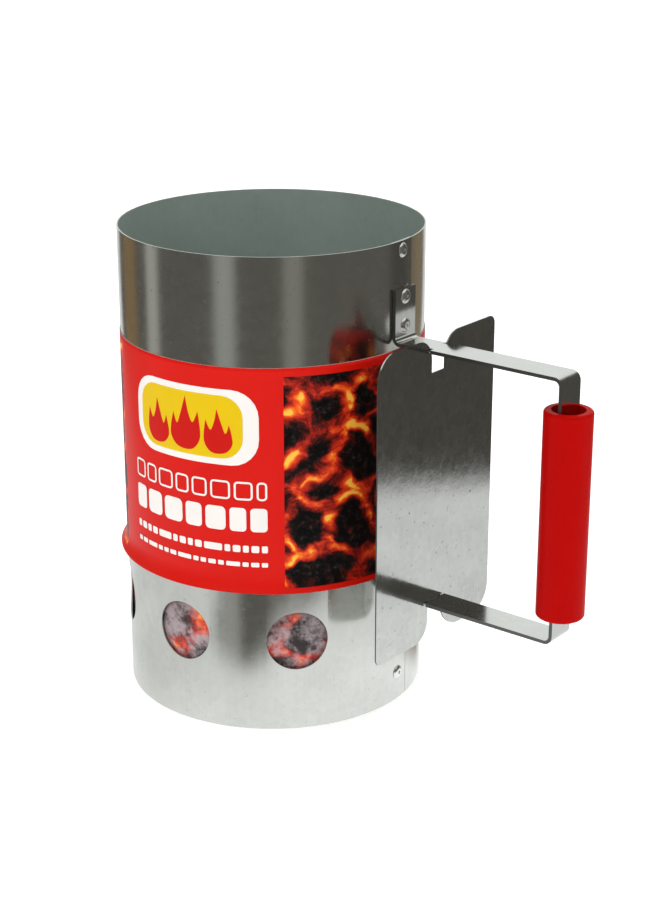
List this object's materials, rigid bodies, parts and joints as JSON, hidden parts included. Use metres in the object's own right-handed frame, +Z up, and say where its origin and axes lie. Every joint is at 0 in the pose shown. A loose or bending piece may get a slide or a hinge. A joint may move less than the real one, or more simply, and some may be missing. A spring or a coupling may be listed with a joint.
{
  "type": "chimney charcoal starter",
  "caption": "Upright steel tube with low vents, a riveted side handle with a round grip, a loose heat shield, a card sleeve and a lift-out wire grate.",
  "frame": {"origin": "centre of the circle that the tube stands on, on the tube's axis", "axes": "+Z up along the tube, +X out through the handle, +Y completes the frame"},
  "size_m": [0.2926, 0.1792, 0.2683],
  "materials": {
    "galvanised_sheet": "bright zinc coating with faint rolled streaks",
    "shield_sheet": "bright zinc coating, mottled",
    "strap_steel": "bright zinc plate",
    "rivet_metal": "satin",
    "bracket_steel": "plain zinc plate",
    "grate_wire": "drawn wire, satin",
    "grip_plastic": "smooth red moulded plastic",
    "printed_card": "coated printed card"
  },
  "bodies": {
    "body": {"body_shell": "galvanised_sheet", "label_sleeve": "printed_card", "handle_strap": "strap_steel", "top_seam_rivet": "rivet_metal", "bottom_seam_rivet": "rivet_metal", "upper_strap_rivet_low": "rivet_metal", "upper_strap_rivet_high": "rivet_metal", "lower_strap_rivet_high": "rivet_metal", "lower_strap_rivet_low": "rivet_metal", "grate_bracket_1": "bracket_steel", "grate_bracket_2": "bracket_steel", "grate_bracket_3": "bracket_steel", "grate_bracket_4": "bracket_steel", "bracket_rivet_1": "rivet_metal", "bracket_rivet_2": "rivet_metal", "bracket_rivet_3": "rivet_metal", "bracket_rivet_4": "rivet_metal"},
    "shield": {"heat_shield": "shield_sheet"},
    "grip": {"hand_grip": "grip_plastic"},
    "grate": {"grate_ring": "grate_wire", "grate_bar_1": "grate_wire", "grate_bar_2": "grate_wire", "grate_bar_3": "grate_wire", "grate_bar_4": "grate_wire", "grate_bar_5": "grate_wire", "grate_bar_6": "grate_wire", "grate_bar_7": "grate_wire", "grate_cross_wire_1": "grate_wire", "grate_cross_wire_2": "grate_wire"}
  },
  "joints": [
    {"name": "shield_lift", "type": "slide", "parent": "body", "child": "shield", "axis": [0, 0, 1], "range_m": [0, 0.011]},
    {"name": "grip_turn", "type": "hinge", "parent": "body", "child": "grip", "pos_m": [0.19, 0.0065, 0.1389], "axis": [0, 0, 1], "continuous": true},
    {"name": "grate_lift", "type": "slide", "parent": "body", "child": "grate", "axis": [0, 0, 1], "range_m": [0, 0.2]}
  ]
}
